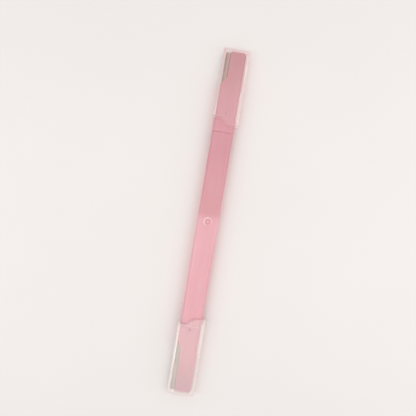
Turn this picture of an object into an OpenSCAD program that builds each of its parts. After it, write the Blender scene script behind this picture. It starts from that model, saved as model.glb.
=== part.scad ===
// Double-ended eyebrow razor: a bar handle with a blade head on each end and a clear push-on cap over each head.
// +Y runs along the razor to the short blade's end, the blade edges face -X, and +Z comes out of the front face.
// The razor lies on the undersides of its two caps, at z = 0.

/* [Overall] */
// Length over both caps
total_l = 160; // [150:1:175]

/* [Handle] */
// Thickness of the bar
handle_t = 4.6; // [4.2:0.1:5.4]
// Width of the slope along each long edge, seen from the front
slope_w = 1.2; // [0.6:0.1:1.6]
// Height of that slope
slope_h = 0.8; // [0.4:0.1:1.1]

/* [Ring on the handle] */
// Diameter over the raised ring
ring_d = 4.4; // [3.6:0.1:5.6]
// Height of the ring above the front face
ring_h = 0.25; // [0.15:0.05:0.4]
// Diameter of the well inside the ring
well_d = 2.5; // [1.8:0.1:2.8]
// Depth of the well below the front face
well_depth = 0.4; // [0.3:0.05:1]
// Diameter of the gate stub in the well
stub_d = 0.7; // [0.4:0.1:1]
// Height of the gate stub above the well's floor
stub_h = 0.3; // [0.2:0.05:0.6]

/* [Joints of the handle and heads] */
// Length of the tang on each head
tang_l = 9; // [6:0.5:12]
// Width of the tang
tang_w = 6.4; // [5:0.1:7]
// Thickness of the tang
tang_t = 2.2; // [1.6:0.1:2.6]
// Clearance round the tang in its socket
tang_gap = 0.05; // [0.02:0.01:0.15]
// Clearance past the tang's end
tang_end_gap = 0.5; // [0.2:0.1:1]
// Lead-in chamfer at the tang's end
tang_lead = 0.5; // [0.2:0.1:0.8]
// Radius of the snap ridge across each face of the tang
snap_r = 0.5; // [0.35:0.05:0.7]
// Height of the snap ridge
snap_h = 0.15; // [0.05:0.05:0.25]
// Width of the shadow line round each joint
seam_w = 0.2; // [0.1:0.05:0.6]
// Depth of the shadow line
seam_depth = 0.08; // [0.04:0.02:0.3]

/* [Blade heads] */
// Thickness of a head beside its blade
head_t = 3.2; // [2.8:0.1:3.8]
// Thickness taken off the front face by the tip
tip_taper = 0.4; // [0:0.05:0.6]
// Length of the short head's neck, from the handle to the shoulder
short_neck_l = 21.1; // [18:0.1:26]
// Length of the long head's neck, from the handle to the shoulder
long_neck_l = 6.7; // [6:0.1:12]
// Head's tip to the outer start of the shoulder on the short head
short_shoulder_l = 16.5; // [13:0.1:18]
// Head's tip to the outer start of the shoulder on the long head
long_shoulder_l = 23.8; // [18:0.1:26]
// Length of the short head's slanted shoulder along the razor
short_shoulder_run = 4.2; // [1.6:0.1:5]
// Length of the long head's slanted shoulder along the razor
long_shoulder_run = 4.4; // [2:0.1:5]
// Radius of the shoulder's two bends
shoulder_r = 1.2; // [0.6:0.1:1.6]
// Radius of the tip's corner on the spine side
nose_r = 1.4; // [0.6:0.1:2]
// Diameter of the snap dimple on the front and back of each neck
dimple_d = 1.2; // [0.8:0.1:1.6]
// Depth of the snap dimple
dimple_depth = 0.28; // [0.1:0.02:0.35]
// Cap's rim to the middle of the dimple, on the blade side
dimple_in = 2.7; // [2.4:0.1:5]

/* [Blades] */
// Thickness of the steel
blade_t = 0.3; // [0.2:0.05:0.4]
// Width of a blade from its back to its edge
blade_w = 6.2; // [5:0.1:6.6]
// Width of the ground face along the edge
grind_w = 1; // [0.6:0.1:1.6]
// Thickness left at the edge
edge_t = 0.04; // [0.02:0.01:0.08]
// Width of the long blade that shows beside its head
long_show_w = 2.4; // [1.8:0.1:2.8]
// Width of the short blade that shows beside its head
short_show_w = 2.2; // [1.6:0.1:2.8]
// Setback of the long blade's edge from the handle's side
long_inset = 0.15; // [0.1:0.05:0.9]
// Setback of the short blade's edge from the handle's side
short_inset = 0.65; // [0.1:0.05:0.9]
// Head's tip to the end of the long blade
long_blade_end = 0.3; // [0.1:0.1:1]
// Head's tip to the end of the short blade
short_blade_end = 0.5; // [0.1:0.1:1]
// Length of blade tucked behind the slanted shoulder
tuck_l = 1.2; // [0.8:0.1:2]

/* [Blade covers and pegs] */
// Diameter of the pegs that carry a blade and its cover
peg_d = 1.1; // [0.8:0.1:1.4]
// Diameter of a peg's spread end
stake_d = 1.9; // [1.5:0.1:2.2]
// Height of the spread end
stake_h = 0.4; // [0.2:0.05:0.6]
// Clearance round the pegs, the blades and the covers
fit_gap = 0.08; // [0.04:0.01:0.12]
// Head's tip to the nearest peg
peg_end = 3.4; // [2.6:0.1:4]
// Last peg to the inner end of the shoulder
peg_root = 2.2; // [1.6:0.1:3]
// Number of pegs on the short head
short_pegs = 2; // [2:1:3]
// Number of pegs on the long head
long_pegs = 3; // [2:1:4]

/* [Caps] */
// Width of a cap, which the width of the handle inside it follows
cap_w = 12.4; // [11.8:0.1:14]
// Room beside the handle on the spine side, which a cap's guide ribs bridge
spine_room = 1; // [0.6:0.1:1.6]
// Wall of a cap
cap_wall = 0.7; // [0.5:0.05:0.9]
// Length of a cap along the spine side
cap_l = 35.6; // [34:0.2:38]
// Drop of the mouth's S curve from the spine side to the blade side
mouth_drop = 3.1; // [1:0.1:3.4]
// Width that the S curve takes up
mouth_run = 4.8; // [3.6:0.1:6]
// Middle of the S curve, from the handle's middle towards the spine
mouth_mid = -0.3; // [-1:0.1:1]
// Clearance between a cap and the front and back of the neck
face_gap = 0.2; // [0.15:0.05:0.35]
// Clearance between a cap and the neck's side, and between its ribs and the neck
side_gap = 0.1; // [0.06:0.02:0.2]
// Clearance between the head's tip and the cap's end wall
tip_gap = 0.3; // [0.2:0.1:1]
// Radius of a cap's long outer edges
cap_edge_r = 1.1; // [1:0.1:1.8]
// Radius of a cap's corners at its closed end
cap_end_r = 0.9; // [0.5:0.1:1.4]
// Width of the rim round the mouth, up to its groove
rim_w = 1.2; // [0.8:0.1:2]
// Width of the groove behind the rim
groove_w = 0.3; // [0.15:0.05:0.5]
// Depth of that groove
groove_depth = 0.15; // [0.05:0.05:0.25]
// Width of each guide rib on the inside of the spine wall
rib_w = 0.7; // [0.5:0.1:1]
// Distance between the middles of the two guide ribs
rib_pitch = 2.2; // [1.6:0.1:2.6]
// Length of the guide ribs
rib_l = 14; // [8:1:20]
// Mouth to the start of the ribs
rib_in = 2.4; // [2:0.2:4]
// Height of the snap pip inside the front and back walls
pip_h = 0.12; // [0.06:0.02:0.14]
// Diameter of the snap pip
pip_d = 0.9; // [0.6:0.1:1.2]

/* [Moulding marks] */
// Diameter of the round ejector marks on the handle's back
mark_d = 3; // [2:0.5:4]
// Depth of the ejector marks
mark_depth = 0.12; // [0.05:0.01:0.2]
// Distance from mark to mark, as a share of the handle's length
mark_share = 0.27; // [0.15:0.01:0.32]
// Diameter of the gate dimple in a cap's end
gate_d = 1.4; // [1:0.1:2]
// Depth of the gate dimple
gate_depth = 0.2; // [0.1:0.05:0.3]

/* [Hidden] */
$fn = 64;

// Overrun of every cut past the surface that it opens
over = 0.5;

// Length of the thin slab that ends a head's ramp
ramp_end = 0.1;

half_l = total_l / 2;
tip_y = half_l - cap_wall - tip_gap;
short_joint_y = tip_y - short_shoulder_l - short_neck_l;
long_joint_y = tip_y - long_shoulder_l - long_neck_l;
handle_w = cap_w - 2 * cap_wall - side_gap - spine_room;
cap_h = handle_t + 2 * (face_gap + cap_wall);
mid_z = cap_h / 2;

// The neck runs along the cap's wall on the blade side, so the handle lies off the middle
side_x = -cap_w / 2 + cap_wall + side_gap;
handle_x = side_x + handle_w / 2;
spine_x = side_x + handle_w;

// Blade planes: the seat is the face under each blade, and the clamp face is the cover's
seat_z = mid_z + blade_t / 2;
clamp_z = mid_z - blade_t / 2;
back_z = mid_z - head_t / 2;

// Mouth of a cap on its spine side and on its blade side
spine_mouth_y = half_l - cap_l;
blade_mouth_y = spine_mouth_y + mouth_drop;
dimple_y = blade_mouth_y + dimple_in;

// Turns a section drawn in X and Z into a bar from y0 to y1
module along_y(y0, y1) {
  translate([0, y1, 0]) rotate([90, 0, 0]) linear_extrude(y1 - y0) children();
}

// Turns an outline drawn in Y and Z into a slab across X, from x0 to x1
module across_x(x0, x1) {
  translate([x0, 0, 0]) rotate([90, 0, 90]) linear_extrude(x1 - x0) children();
}

// Turns an outline drawn in X and Y into a slab from z0 to z1
module up_z(z0, z1) {
  translate([0, 0, z0]) linear_extrude(z1 - z0) children();
}

function unit(v) = v / norm(v);

// The sliver between a corner at p and an arc that touches the lines from p to a and from p to b
module corner_sliver(p, a, b, r) {
  to_a = unit(a - p);
  to_b = unit(b - p);
  half_angle = acos(to_a * to_b) / 2;
  reach = r / tan(half_angle);
  difference() {
    polygon([p, p + to_a * reach, p + to_b * reach]);
    translate(p + unit(to_a + to_b) * r / sin(half_angle)) circle(r);
  }
}

// A rectangle with round corners, centred on the origin
module round_rect(w, h, r) {
  square([w - 2 * r, h], center = true);
  square([w, h - 2 * r], center = true);
  for (sx = [-1, 1], sy = [-1, 1])
    translate([sx * (w / 2 - r), sy * (h / 2 - r)]) circle(r);
}

// Section of the bar, with its four long edges sloped off
module bar_section(thick, inset = 0) {
  w = handle_w / 2 - inset;
  t = thick / 2 - inset;
  translate([handle_x, mid_z]) polygon([
    [-w, slope_h - t], [slope_w - w, -t], [w - slope_w, -t], [w, slope_h - t],
    [w, t - slope_h], [w - slope_w, t], [slope_w - w, t], [-w, t - slope_h]
  ]);
}

// The tang of the head at the +Y end, grown by a clearance for its socket
module tang(joint_y, gap = 0, end_gap = 0) {
  end_y = joint_y - tang_l;
  w = tang_w / 2 + gap;
  t = tang_t / 2 + gap;
  lead = tang_lead;
  translate([handle_x, 0, mid_z]) {
    intersection() {
      up_z(-t, t) polygon([
        [-w, joint_y + seam_w], [w, joint_y + seam_w], [w, end_y + lead - end_gap],
        [w - lead, end_y - end_gap], [lead - w, end_y - end_gap], [-w, end_y + lead - end_gap]
      ]);
      across_x(-w, w) polygon([
        [joint_y + seam_w, t], [end_y + lead - end_gap, t], [end_y - end_gap, t - lead],
        [end_y - end_gap, lead - t], [end_y + lead - end_gap, -t], [joint_y + seam_w, -t]
      ]);
    }
    for (side = [-1, 1])
      translate([-w + lead, joint_y - tang_l / 2, side * (tang_t / 2 + snap_h - snap_r)])
        rotate([0, 90, 0]) cylinder(r = snap_r + gap, h = 2 * (w - lead));
  }
}

// The raised ring: a round bead of the ring's width and height, half sunk in the front face
module ring_bead() {
  bead_w = (ring_d - well_d) / 2;
  bead_r = (bead_w * bead_w / 4 + ring_h * ring_h) / (2 * ring_h);
  rotate_extrude() translate([(ring_d + well_d) / 4, ring_h - bead_r]) circle(bead_r);
}

module handle() color("lightpink") {
  front_z = mid_z + handle_t / 2;
  rear_z = mid_z - handle_t / 2;
  difference() {
    union() {
      along_y(-long_joint_y, short_joint_y) bar_section(handle_t);
      translate([handle_x, 0, front_z]) ring_bead();
    }
    translate([handle_x, 0, front_z - well_depth]) cylinder(d = well_d, h = well_depth + ring_h + over);
    tang(short_joint_y, tang_gap, tang_end_gap);
    mirror([0, 1, 0]) tang(long_joint_y, tang_gap, tang_end_gap);
    for (step = [-1, 0, 1])
      translate([handle_x, step * mark_share * (short_joint_y + long_joint_y), rear_z - over])
        cylinder(d = mark_d, h = mark_depth + over);
  }
  translate([handle_x, 0, front_z - well_depth]) cylinder(d = stub_d, h = stub_h);
}

// Outline of the head at the +Y end, seen from the front
module head_outline(joint_y, shoulder_l, shoulder_run, land_x) {
  shoulder_y = tip_y - shoulder_l;
  land_y = shoulder_y + shoulder_run;
  root = [side_x, joint_y];
  bend_out = [side_x, shoulder_y];
  bend_in = [land_x, land_y];
  land_tip = [land_x, tip_y];
  spine_tip = [spine_x, tip_y];
  spine_root = [spine_x, joint_y];
  difference() {
    union() {
      polygon([root, bend_out, bend_in, land_tip, spine_tip, spine_root]);
      corner_sliver(bend_in, bend_out, land_tip, shoulder_r);
    }
    corner_sliver(bend_out, root, bend_in, shoulder_r);
    corner_sliver(spine_tip, land_tip, spine_root, nose_r);
  }
}

// Outline of the pocket that holds a blade and its cover, drawn back by a clearance on its closed sides
module pocket_outline(shoulder_l, shoulder_run, land_x, pocket_x, gap = 0) {
  shoulder_y = tip_y - shoulder_l;
  start_y = shoulder_y - tuck_l + gap;
  polygon([
    [side_x - over, start_y], [side_x, start_y], [land_x, start_y + shoulder_run],
    [pocket_x - gap, start_y + shoulder_run], [pocket_x - gap, tip_y + over], [side_x - over, tip_y + over]
  ]);
}

// The head's outer form: the neck with its ramp down, and the thinner blade part that tapers to the tip
module head_form(joint_y, shoulder_l, shoulder_run, land_x) {
  shoulder_y = tip_y - shoulder_l;
  land_y = shoulder_y + shoulder_run;
  thin = head_t / 2;
  intersection() {
    up_z(0, cap_h) head_outline(joint_y, shoulder_l, shoulder_run, land_x);
    union() {
      hull() {
        along_y(joint_y, shoulder_y) bar_section(handle_t);
        along_y(land_y - ramp_end, land_y) bar_section(head_t);
      }
      intersection() {
        along_y(land_y, tip_y + over) bar_section(head_t);
        across_x(side_x - over, spine_x + over) translate([0, mid_z]) polygon([
          [land_y, thin], [tip_y, thin - tip_taper], [tip_y, -thin - over], [land_y, -thin - over]
        ]);
      }
    }
  }
}

// One peg with its spread end, flush with the head's back, grown by a clearance for the holes round it
module peg(x, y, gap = 0) {
  translate([x, y, back_z]) cylinder(d = peg_d + 2 * gap, h = seat_z + blade_t - back_z);
  translate([x, y, back_z]) cylinder(d1 = stake_d + 2 * gap, d2 = peg_d + 2 * gap, h = stake_h);
}

// The row of pegs along the blade, spread evenly from the tip to the shoulder's inner end
module peg_row(shoulder_l, shoulder_run, land_x, pocket_x, count, gap = 0) {
  row_l = shoulder_l - shoulder_run - peg_end - peg_root;
  for (i = [0 : count - 1])
    peg((land_x + pocket_x) / 2, tip_y - peg_end - i * row_l / (count - 1), gap);
}

// The hollows that the cap's pips sit over, in the front and the back of the neck
module dimples() {
  r = (dimple_d * dimple_d / 4 + dimple_depth * dimple_depth) / (2 * dimple_depth);
  for (side = [-1, 1])
    translate([handle_x, dimple_y, mid_z + side * (handle_t / 2 - dimple_depth + r)]) sphere(r);
}

// Cuts a shadow line into the neck beside its joint with the handle
module seam_cut(joint_y) {
  along_y(joint_y - over, joint_y + seam_w) difference() {
    translate([side_x - over, 0]) square([handle_w + 2 * over, cap_h]);
    bar_section(handle_t, seam_depth);
  }
}

// A whole blade head, at the +Y end
module blade_head(joint_y, shoulder_l, shoulder_run, land_x, pocket_x, count) {
  difference() {
    union() {
      head_form(joint_y, shoulder_l, shoulder_run, land_x);
      tang(joint_y);
    }
    up_z(-over, seat_z) pocket_outline(shoulder_l, shoulder_run, land_x, pocket_x);
    seam_cut(joint_y);
    dimples();
  }
  peg_row(shoulder_l, shoulder_run, land_x, pocket_x, count);
}

// The plate behind a blade, which fills the head's pocket and carries on its outer form
module blade_cover(joint_y, shoulder_l, shoulder_run, land_x, pocket_x, count) {
  difference() {
    intersection() {
      head_form(joint_y, shoulder_l, shoulder_run, land_x);
      up_z(0, clamp_z) pocket_outline(shoulder_l, shoulder_run, land_x, pocket_x, fit_gap);
    }
    peg_row(shoulder_l, shoulder_run, land_x, pocket_x, count, fit_gap);
  }
}

// A blade: a flat strip, ground to an edge on both faces, whose inner end is slanted like the shoulder
module blade(shoulder_l, shoulder_run, land_x, pocket_x, end_gap, count) {
  edge_x = pocket_x - fit_gap - blade_w;
  back_x = pocket_x - fit_gap;
  slant = shoulder_run / (land_x - side_x);
  start_y = tip_y - shoulder_l - tuck_l + fit_gap;
  end_y = tip_y - end_gap;
  difference() {
    intersection() {
      up_z(clamp_z, seat_z) polygon([
        [edge_x, start_y + slant * (edge_x - side_x)], [land_x, start_y + shoulder_run],
        [back_x, start_y + shoulder_run], [back_x, end_y], [edge_x, end_y]
      ]);
      along_y(start_y - over, end_y + over) translate([0, mid_z]) polygon([
        [edge_x, edge_t / 2], [edge_x + grind_w, blade_t / 2], [back_x + over, blade_t / 2],
        [back_x + over, -blade_t / 2], [edge_x + grind_w, -blade_t / 2], [edge_x, -edge_t / 2]
      ]);
    }
    peg_row(shoulder_l, shoulder_run, land_x, pocket_x, count, fit_gap);
  }
}

// The ground in front of a cap's S-shaped mouth, moved towards the closed end by shift
module mouth_region(shift = 0) {
  mid_x = handle_x + mouth_mid;
  run = mouth_run / 2;
  drop = mouth_drop / 2;
  r = (run * run + drop * drop) / (2 * drop);
  low_y = spine_mouth_y - over;
  spine_y = spine_mouth_y + shift;
  blade_y = blade_mouth_y + shift;
  mid_y = spine_y + drop;
  translate([-cap_w / 2 - over, low_y]) square([mid_x - run + cap_w / 2 + over, blade_y - low_y]);
  intersection() {
    translate([mid_x - run, blade_y - r]) circle(r);
    translate([mid_x - run, mid_y]) square([run, drop]);
  }
  translate([mid_x - run, low_y]) square([run, mid_y - low_y]);
  difference() {
    translate([mid_x, low_y]) square([run, mid_y - low_y]);
    translate([mid_x + run, spine_y + r]) circle(r);
  }
  translate([mid_x + run, low_y]) square([cap_w / 2 + over - mid_x - run, spine_y - low_y]);
}

// Outline of a cap with its closed end's two corners rounded, from lo to hi across
module end_outline(lo, hi) {
  near_lo = [lo, spine_mouth_y - over];
  near_hi = [hi, spine_mouth_y - over];
  far_lo = [lo, half_l];
  far_hi = [hi, half_l];
  difference() {
    polygon([near_lo, near_hi, far_hi, far_lo]);
    corner_sliver(far_lo, near_lo, far_hi, cap_end_r);
    corner_sliver(far_hi, near_hi, far_lo, cap_end_r);
  }
}

// A guide rib inside the spine wall, with a lead-in at the mouth
module guide_rib(z) {
  wall_x = cap_w / 2 - cap_wall;
  rib_x = spine_x + side_gap;
  near_y = spine_mouth_y + rib_in;
  up_z(z - rib_w / 2, z + rib_w / 2) polygon([
    [wall_x + cap_wall / 2, near_y], [wall_x, near_y], [rib_x, near_y + wall_x - rib_x],
    [rib_x, near_y + rib_l], [wall_x + cap_wall / 2, near_y + rib_l]
  ]);
}

// The low domes inside the front and back walls, over the neck's dimples
module snap_pips() {
  r = (pip_d * pip_d / 4 + pip_h * pip_h) / (2 * pip_h);
  wall_z = cap_h / 2 - cap_wall;
  for (side = [-1, 1]) intersection() {
    translate([handle_x, dimple_y, mid_z + side * (wall_z - pip_h + r)]) sphere(r);
    translate([handle_x, dimple_y, mid_z + side * wall_z]) cylinder(d = pip_d + over, h = cap_wall, center = true);
  }
}

// A cap, at the +Y end
module cap() {
  difference() {
    intersection() {
      along_y(spine_mouth_y, half_l) translate([0, mid_z]) round_rect(cap_w, cap_h, cap_edge_r);
      up_z(0, cap_h) end_outline(-cap_w / 2, cap_w / 2);
      across_x(-cap_w / 2, cap_w / 2) mirror([1, -1]) end_outline(0, cap_h);
    }
    along_y(spine_mouth_y - over, half_l - cap_wall) translate([0, mid_z])
      round_rect(cap_w - 2 * cap_wall, cap_h - 2 * cap_wall, cap_edge_r - cap_wall);
    up_z(-over, cap_h + over) mouth_region();
    intersection() {
      along_y(spine_mouth_y, half_l - cap_wall) translate([0, mid_z]) difference() {
        square([cap_w + 2 * over, cap_h + 2 * over], center = true);
        round_rect(cap_w - 2 * groove_depth, cap_h - 2 * groove_depth, cap_edge_r - groove_depth);
      }
      up_z(-over, cap_h + over) difference() {
        mouth_region(rim_w + groove_w);
        mouth_region(rim_w);
      }
    }
    translate([0, half_l - gate_depth, mid_z]) rotate([-90, 0, 0]) cylinder(d = gate_d, h = gate_depth + over);
  }
  for (side = [-1, 1]) guide_rib(mid_z + side * rib_pitch / 2);
  snap_pips();
}

// Places of each blade's edge, of the head's edge beside it, and of the pocket's closed side
short_edge_x = side_x + short_inset;
short_land_x = short_edge_x + short_show_w;
short_pocket_x = short_edge_x + blade_w + fit_gap;
long_edge_x = side_x + long_inset;
long_land_x = long_edge_x + long_show_w;
long_pocket_x = long_edge_x + blade_w + fit_gap;

module short_blade_head() color("lightpink") blade_head(
  short_joint_y, short_shoulder_l, short_shoulder_run, short_land_x, short_pocket_x, short_pegs);

module long_blade_head() color("lightpink") mirror([0, 1, 0]) blade_head(
  long_joint_y, long_shoulder_l, long_shoulder_run, long_land_x, long_pocket_x, long_pegs);

module short_blade() color("silver") blade(
  short_shoulder_l, short_shoulder_run, short_land_x, short_pocket_x, short_blade_end, short_pegs);

module long_blade() color("silver") mirror([0, 1, 0]) blade(
  long_shoulder_l, long_shoulder_run, long_land_x, long_pocket_x, long_blade_end, long_pegs);

module short_blade_cover() color("lightpink") blade_cover(
  short_joint_y, short_shoulder_l, short_shoulder_run, short_land_x, short_pocket_x, short_pegs);

module long_blade_cover() color("lightpink") mirror([0, 1, 0]) blade_cover(
  long_joint_y, long_shoulder_l, long_shoulder_run, long_land_x, long_pocket_x, long_pegs);

module short_blade_cap() color("mistyrose", 0.4) cap();

module long_blade_cap() color("mistyrose", 0.4) mirror([0, 1, 0]) cap();

handle();
short_blade_head();
long_blade_head();
short_blade();
long_blade();
short_blade_cover();
long_blade_cover();
short_blade_cap();
long_blade_cap();
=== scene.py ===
# %% [markdown]
# # An eyebrow razor, dressed for a close look
# The razor is a pink moulded bar with a blade head at each end and a clear cap pushed over each head.
# Its pieces come in as a fixed frame, at their real size and in metres, and this lesson gives them
# their finish: softened edges, a parting line, translucent pink plastic, ground steel and clear
# polished plastic. One could model every piece again here, but the frame's pieces already have the
# right shape, so it is better to keep them and to spend the effort on edges, surfaces and light.

# %% Load the frame
import math

import bmesh
import bpy
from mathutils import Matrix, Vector


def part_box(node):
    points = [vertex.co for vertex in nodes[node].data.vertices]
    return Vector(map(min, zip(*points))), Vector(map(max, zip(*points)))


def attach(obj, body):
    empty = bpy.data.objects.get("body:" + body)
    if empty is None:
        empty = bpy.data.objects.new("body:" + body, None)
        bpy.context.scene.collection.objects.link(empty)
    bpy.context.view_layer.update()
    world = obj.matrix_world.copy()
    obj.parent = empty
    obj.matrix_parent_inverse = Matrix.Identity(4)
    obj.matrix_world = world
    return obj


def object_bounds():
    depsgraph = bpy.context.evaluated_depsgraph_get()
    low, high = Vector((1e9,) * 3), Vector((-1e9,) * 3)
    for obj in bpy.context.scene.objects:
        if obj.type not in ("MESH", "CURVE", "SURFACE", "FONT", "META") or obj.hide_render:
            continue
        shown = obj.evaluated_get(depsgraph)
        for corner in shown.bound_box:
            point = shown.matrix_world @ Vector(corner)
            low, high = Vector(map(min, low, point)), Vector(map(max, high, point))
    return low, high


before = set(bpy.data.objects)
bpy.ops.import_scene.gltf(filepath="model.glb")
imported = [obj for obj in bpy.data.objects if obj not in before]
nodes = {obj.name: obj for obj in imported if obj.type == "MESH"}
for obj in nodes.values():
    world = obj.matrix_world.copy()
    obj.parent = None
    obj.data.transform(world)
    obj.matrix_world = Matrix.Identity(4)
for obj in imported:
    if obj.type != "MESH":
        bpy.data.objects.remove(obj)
frame_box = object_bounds()
MM = 0.001
frame_size = (frame_box[1] - frame_box[0]) / MM
print("pieces in the frame:", sorted(nodes))
print("razor over its caps, mm:", [round(side, 1) for side in frame_size])

# %% [markdown]
# # The camera looks straight down
# The photograph looks square onto the razor's front, with the razor leaning to the right in the
# picture. A camera could be placed by eye and nudged, but three measures from the picture settle it:
# how many pixels long the razor is, how far it leans, and where the ring on its handle lies. A long
# lens keeps the caps' walls from spreading.

# %% Camera
PICTURE_SIDE = 416
RAZOR_PIXELS = 350.5
RING_PIXEL = (207.8, 221.8)
LEAN = math.radians(9.46)
LENS = 85
SENSOR = 36

handle_low, handle_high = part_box("handle")
ring_x = (handle_low.x + handle_high.x) / 2
top_z = frame_box[1].z
metres_per_pixel = (frame_box[1].y - frame_box[0].y) / RAZOR_PIXELS
picture_right = Vector((math.cos(LEAN), math.sin(LEAN), 0))
picture_up = Vector((-math.sin(LEAN), math.cos(LEAN), 0))

camera_data = bpy.data.cameras.new("camera")
camera_data.lens = LENS
camera_data.sensor_width = SENSOR
camera = bpy.data.objects.new("camera", camera_data)
bpy.context.scene.collection.objects.link(camera)
right_of_ring = (PICTURE_SIDE / 2 - RING_PIXEL[0]) * metres_per_pixel
above_ring = (RING_PIXEL[1] - PICTURE_SIDE / 2) * metres_per_pixel
camera.location = Vector((ring_x, 0, top_z)) + picture_right * right_of_ring + picture_up * above_ring
camera.location.z += PICTURE_SIDE * metres_per_pixel * LENS / SENSOR
camera.rotation_euler = (0, 0, LEAN)
bpy.context.scene.camera = camera
lens_height = round(camera.location.z, 3)
print("one pixel is", round(metres_per_pixel / MM, 3), "mm; the lens is", lens_height, "m up")

# %% [markdown]
# # A plain pale floor
# The razor lies on a matt surface that throws soft light back up through the clear caps. A whole
# table could be modelled, but only its top would show, so a flat grid with a faint cloudy tone does
# the job. It lies a hair's breadth under the caps, so that it can't cut into them. Finishes are made
# of nodes, so the first helpers add a node with its values, find a place on a piece in millimetres,
# and place soft noise there.

# %% Floor finish
FLOOR_DARK = (0.78, 0.765, 0.755, 1)
FLOOR_LIGHT = (0.81, 0.795, 0.785, 1)
CLOUDS_PER_MM = 0.02
FLOOR_ROUGH = 0.7


def tree_of(name):
    """A new material with an empty node tree: gives the material and its tree."""
    material = bpy.data.materials.new(name)
    material.use_nodes = True
    material.node_tree.nodes.clear()
    return material, material.node_tree


def place(tree, kind, sockets=None, **settings):
    """Adds a node. sockets maps an input's name or number to a value, or to an output that feeds it."""
    node = tree.nodes.new(kind)
    for name, value in settings.items():
        setattr(node, name, value)
    for key, value in (sockets or {}).items():
        if isinstance(value, bpy.types.NodeSocket):
            tree.links.new(value, node.inputs[key])
        else:
            node.inputs[key].default_value = value
    return node


def object_millimetres(tree):
    """The place on the piece, in millimetres of the frame."""
    in_metres = place(tree, "ShaderNodeTexCoord").outputs["Object"]
    scaled = place(tree, "ShaderNodeVectorMath", {0: in_metres, "Scale": 1 / MM}, operation="SCALE")
    return scaled.outputs[0]


def noise_at(tree, spot, rate, detail):
    """Soft noise at spot: about rate blobs to a unit of spot, and detail layers of finer noise."""
    return place(tree, "ShaderNodeTexNoise", {"Vector": spot, "Scale": rate, "Detail": detail}).outputs


def floor_material():
    """A matt pale finish with faint clouds a few centimetres wide."""
    material, tree = tree_of("pale_floor")
    clouds = noise_at(tree, object_millimetres(tree), rate=CLOUDS_PER_MM, detail=3.0)["Fac"]
    tone = place(tree, "ShaderNodeValToRGB", {"Fac": clouds})
    tone.color_ramp.elements[0].color = FLOOR_DARK
    tone.color_ramp.elements[1].color = FLOOR_LIGHT
    sockets = {"Base Color": tone.outputs["Color"], "Roughness": FLOOR_ROUGH}
    shader = place(tree, "ShaderNodeBsdfPrincipled", sockets)
    place(tree, "ShaderNodeOutputMaterial", {"Surface": shader.outputs["BSDF"]})
    return material


pale_floor = floor_material()
print("floor finish:", pale_floor.name, "made of", len(pale_floor.node_tree.nodes), "nodes")

# %% Floor
FLOOR_GAP = 0.05 * MM
FLOOR_SIDE = 6.0
FLOOR_SQUARES = 8


def new_piece(name, form, material):
    """Turns a bmesh into an object of the scene with one material."""
    mesh = bpy.data.meshes.new(name)
    form.to_mesh(mesh)
    form.free()
    piece = bpy.data.objects.new(name, mesh)
    piece.data.materials.append(material)
    bpy.context.scene.collection.objects.link(piece)
    return piece


floor_form = bmesh.new()
bmesh.ops.create_grid(
    floor_form, x_segments=FLOOR_SQUARES, y_segments=FLOOR_SQUARES, size=FLOOR_SIDE / 2
)
floor = new_piece("floor", floor_form, pale_floor)
floor.location.z = -FLOOR_GAP
print("floor:", FLOOR_SIDE, "m wide,", round(FLOOR_GAP / MM, 2), "mm under the caps")

# %% [markdown]
# # Soft light from above and from both sides
# A clear cap shows what is round it, so the light matters as much as the plastic. A square soft box
# high on the left gives the form. Three strips lie along the razor and draw the bright lines in the
# caps' walls: one on the left, one on the right beside the short blade, and a lower one on the right,
# which lifts the slopes on that side. They hang well above the floor, so no burnt patch shows behind
# the razor in a side view. One could light with a picture of a studio instead, but four lamps are
# easier to read and to move.

# %% Lights
WARM = (1.0, 0.965, 0.94)
NEUTRAL = (1.0, 0.985, 0.97)
ROOM_TINT = (1.0, 0.975, 0.96, 1)
ROOM_STRENGTH = 0.645


def soft_box(name, at, size, watts, tint, length=None):
    """An area light, in metres. A strip, which has a length, faces the razor at its own place along
    it, and a square one faces the razor's middle."""
    data = bpy.data.lights.new(name, "AREA")
    data.shape = "RECTANGLE"
    data.size = size
    data.size_y = length or size
    data.energy = watts
    data.color = tint
    light = bpy.data.objects.new(name, data)
    light.location = at
    aim = Vector((0, at[1] if length else 0, 0)) - Vector(at)
    light.rotation_euler = aim.to_track_quat("-Z", "Y").to_euler()
    bpy.context.scene.collection.objects.link(light)
    print(name, "gives", watts, "W from", round(Vector(at).length, 2), "m away")


soft_box("high_soft_box", at=(-0.30, 0.22, 0.62), size=0.45, watts=0.38, tint=NEUTRAL)
soft_box("left_strip", at=(-0.25, -0.06, 0.34), size=0.08, length=0.52, watts=0.60, tint=WARM)
soft_box("right_strip", at=(0.24, 0.14, 0.36), size=0.08, length=0.36, watts=0.34, tint=WARM)
soft_box("right_low_strip", at=(0.29, -0.03, 0.22), size=0.06, length=0.40, watts=0.25, tint=WARM)

world = bpy.data.worlds.new("pale_room")
world.use_nodes = True
room = world.node_tree.nodes["Background"]
room.inputs["Color"].default_value = ROOM_TINT
room.inputs["Strength"].default_value = ROOM_STRENGTH
bpy.context.scene.world = world
bpy.context.scene.view_settings.view_transform = "Standard"

# %% [markdown]
# # Streaks of the melt
# Moulded plastic is never one flat colour, because the melt leaves faint streaks along its flow. They
# could be painted on, but stretched noise gives them from every side. Several finishes need them,
# each with values of its own, so the effect is a node group with named inputs. The helpers here make
# a group, connect its results, and place a sum of numbers or of vectors.

# %% Melt streaks
NOISE_MIDDLE = 0.5


def group_of(name, inputs, outputs):
    """A new shader node group: gives the group, its input node and its output node."""
    group = bpy.data.node_groups.new(name, "ShaderNodeTree")
    for label, default in inputs.items():
        socket = group.interface.new_socket(label, in_out="INPUT", socket_type="NodeSocketFloat")
        socket.default_value = default
    for label in outputs:
        group.interface.new_socket(label, in_out="OUTPUT", socket_type="NodeSocketFloat")
    return group, group.nodes.new("NodeGroupInput"), group.nodes.new("NodeGroupOutput")


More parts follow.
